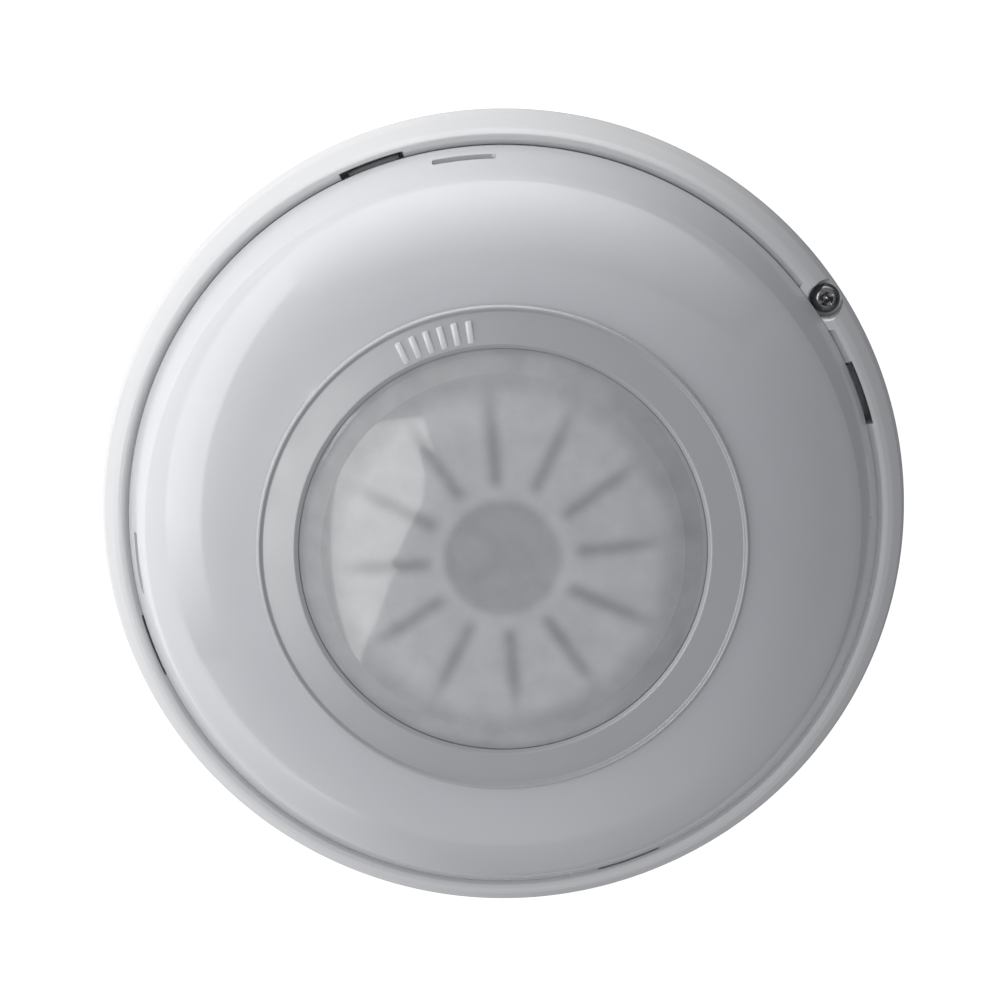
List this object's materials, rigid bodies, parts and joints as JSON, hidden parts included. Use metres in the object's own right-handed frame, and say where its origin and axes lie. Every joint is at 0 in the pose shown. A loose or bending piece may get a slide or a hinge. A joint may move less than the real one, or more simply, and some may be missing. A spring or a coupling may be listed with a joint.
{
  "type": "ceiling motion sensor",
  "caption": "Round ceiling motion sensor: base tray, twist-off domed cover, petalled Fresnel lens in a bezel, and the circuit board, infrared sensor and terminals inside.",
  "frame": {"origin": "centre of the back mounting face of the base tray", "axes": "+Z out of the back face, through the middle of the lens; the lock screw lies 34.7 degrees from +X towards +Y"},
  "size_m": [0.12, 0.12, 0.0359],
  "materials": {
    "cover_white": "satin moulded ABS",
    "base_white": "satin moulded ABS",
    "lens_milk": "milky moulded polyethylene, glossy outside",
    "bezel_satin": "satin moulded ABS, a little darker than the cover",
    "inner_white": "satin",
    "board_green": "solder mask",
    "steel": "zinc plated",
    "brass": "plain",
    "chip_black": "matt",
    "terminal_green": "satin",
    "switch_blue": "satin",
    "led_red": "clear coloured",
    "filter_dark": "mirror-like filter",
    "rubber_grey": "matt"
  },
  "bodies": {
    "base": {"base_tray": "base_white", "cable_grommet": "rubber_grey", "circuit_board": "board_green", "board_screw_1": "steel", "board_screw_2": "steel", "board_screw_3": "steel", "sensor_spacer": "inner_white", "pyro_sensor_can": "steel", "pyro_sensor_window": "filter_dark", "status_led": "led_red", "alarm_relay": "chip_black", "capacitor_1": "chip_black", "capacitor_2": "chip_black", "microcontroller": "chip_black", "amplifier_chip": "chip_black", "voltage_regulator": "chip_black", "tamper_switch": "chip_black", "terminal_block": "terminal_green", "dip_switch": "switch_blue"},
    "cover_carrier": {"lens_retainer": "inner_white"},
    "cover": {"front_cover": "cover_white", "lens_bezel": "bezel_satin", "fresnel_lens": "lens_milk"},
    "lock_screw_carrier": {"lock_screw_washer": "steel"},
    "lock_screw": {"lock_screw": "steel"},
    "tamper_plunger": {"tamper_plunger": "inner_white"},
    "terminal_screw_1": {"terminal_screw_1": "steel"},
    "terminal_screw_2": {"terminal_screw_2": "steel"},
    "terminal_screw_3": {"terminal_screw_3": "steel"},
    "terminal_screw_4": {"terminal_screw_4": "steel"},
    "terminal_screw_5": {"terminal_screw_5": "steel"},
    "terminal_screw_6": {"terminal_screw_6": "steel"},
    "terminal_clamp_1": {"terminal_clamp_1": "brass"},
    "terminal_clamp_2": {"terminal_clamp_2": "brass"},
    "terminal_clamp_3": {"terminal_clamp_3": "brass"},
    "terminal_clamp_4": {"terminal_clamp_4": "brass"},
    "terminal_clamp_5": {"terminal_clamp_5": "brass"},
    "terminal_clamp_6": {"terminal_clamp_6": "brass"},
    "dip_slider_1": {"dip_slider_1": "inner_white"},
    "dip_slider_2": {"dip_slider_2": "inner_white"},
    "dip_slider_3": {"dip_slider_3": "inner_white"}
  },
  "joints": [
    {"name": "cover_lift", "type": "slide", "parent": "base", "child": "cover_carrier", "axis": [0, 0, 1], "range_m": [0, 0.06]},
    {"name": "cover_twist", "type": "hinge", "parent": "cover_carrier", "child": "cover", "pos_m": [0, 0, 0.02], "axis": [0, 0, 1], "range_deg": [-14.5, 0]},
    {"name": "lock_screw_travel", "type": "slide", "parent": "base", "child": "lock_screw_carrier", "axis": [0, 0, 1], "range_m": [0, 0.0024]},
    {"name": "lock_screw_turn", "type": "hinge", "parent": "lock_screw_carrier", "child": "lock_screw", "pos_m": [0.04711, 0.03262, 0.006], "axis": [0, 0, 1], "range_deg": [0, 1081]},
    {"name": "tamper_plunger_slide", "type": "slide", "parent": "base", "child": "tamper_plunger", "axis": [0, 0, 1], "range_m": [0, 0.0012]},
    {"name": "terminal_screw_1_turn", "type": "hinge", "parent": "base", "child": "terminal_screw_1", "pos_m": [-0.00953, -0.0298, 0.015], "axis": [0, 0, 1], "range_deg": [-1009, 0]},
    {"name": "terminal_clamp_1_rise", "type": "slide", "parent": "base", "child": "terminal_clamp_1", "axis": [0, 0, 1], "range_m": [0, 0.0014]},
    {"name": "terminal_screw_2_turn", "type": "hinge", "parent": "base", "child": "terminal_screw_2", "pos_m": [-0.00571, -0.0298, 0.015], "axis": [0, 0, 1], "range_deg": [-1009, 0]},
    {"name": "terminal_clamp_2_rise", "type": "slide", "parent": "base", "child": "terminal_clamp_2", "axis": [0, 0, 1], "range_m": [0, 0.0014]},
    {"name": "terminal_screw_3_turn", "type": "hinge", "parent": "base", "child": "terminal_screw_3", "pos_m": [-0.00191, -0.0298, 0.015], "axis": [0, 0, 1], "range_deg": [-1009, 0]},
    {"name": "terminal_clamp_3_rise", "type": "slide", "parent": "base", "child": "terminal_clamp_3", "axis": [0, 0, 1], "range_m": [0, 0.0014]},
    {"name": "terminal_screw_4_turn", "type": "hinge", "parent": "base", "child": "terminal_screw_4", "pos_m": [0.00191, -0.0298, 0.015], "axis": [0, 0, 1], "range_deg": [-1009, 0]},
    {"name": "terminal_clamp_4_rise", "type": "slide", "parent": "base", "child": "terminal_clamp_4", "axis": [0, 0, 1], "range_m": [0, 0.0014]},
    {"name": "terminal_screw_5_turn", "type": "hinge", "parent": "base", "child": "terminal_screw_5", "pos_m": [0.00571, -0.0298, 0.015], "axis": [0, 0, 1], "range_deg": [-1009, 0]},
    {"name": "terminal_clamp_5_rise", "type": "slide", "parent": "base", "child": "terminal_clamp_5", "axis": [0, 0, 1], "range_m": [0, 0.0014]},
    {"name": "terminal_screw_6_turn", "type": "hinge", "parent": "base", "child": "terminal_screw_6", "pos_m": [0.00953, -0.0298, 0.015], "axis": [0, 0, 1], "range_deg": [-1009, 0]},
    {"name": "terminal_clamp_6_rise", "type": "slide", "parent": "base", "child": "terminal_clamp_6", "axis": [0, 0, 1], "range_m": [0, 0.0014]},
    {"name": "dip_slider_1_slide", "type": "slide", "parent": "base", "child": "dip_slider_1", "axis": [1, 0, 0], "range_m": [0, 0.0019]},
    {"name": "dip_slider_2_slide", "type": "slide", "parent": "base", "child": "dip_slider_2", "axis": [1, 0, 0], "range_m": [0, 0.0019]},
    {"name": "dip_slider_3_slide", "type": "slide", "parent": "base", "child": "dip_slider_3", "axis": [1, 0, 0], "range_m": [0, 0.0019]}
  ],
  "couplings": [
    {"joint": "lock_screw_turn", "follows": "lock_screw_travel", "rad_per_m": 7854},
    {"joint": "tamper_plunger_slide", "follows": "cover_lift", "ratio": 0.02},
    {"joint": "terminal_screw_1_turn", "follows": "terminal_clamp_1_rise", "rad_per_m": -12566},
    {"joint": "terminal_screw_2_turn", "follows": "terminal_clamp_2_rise", "rad_per_m": -12566},
    {"joint": "terminal_screw_3_turn", "follows": "terminal_clamp_3_rise", "rad_per_m": -12566},
    {"joint": "terminal_screw_4_turn", "follows": "terminal_clamp_4_rise", "rad_per_m": -12566},
    {"joint": "terminal_screw_5_turn", "follows": "terminal_clamp_5_rise", "rad_per_m": -12566},
    {"joint": "terminal_screw_6_turn", "follows": "terminal_clamp_6_rise", "rad_per_m": -12566}
  ]
}
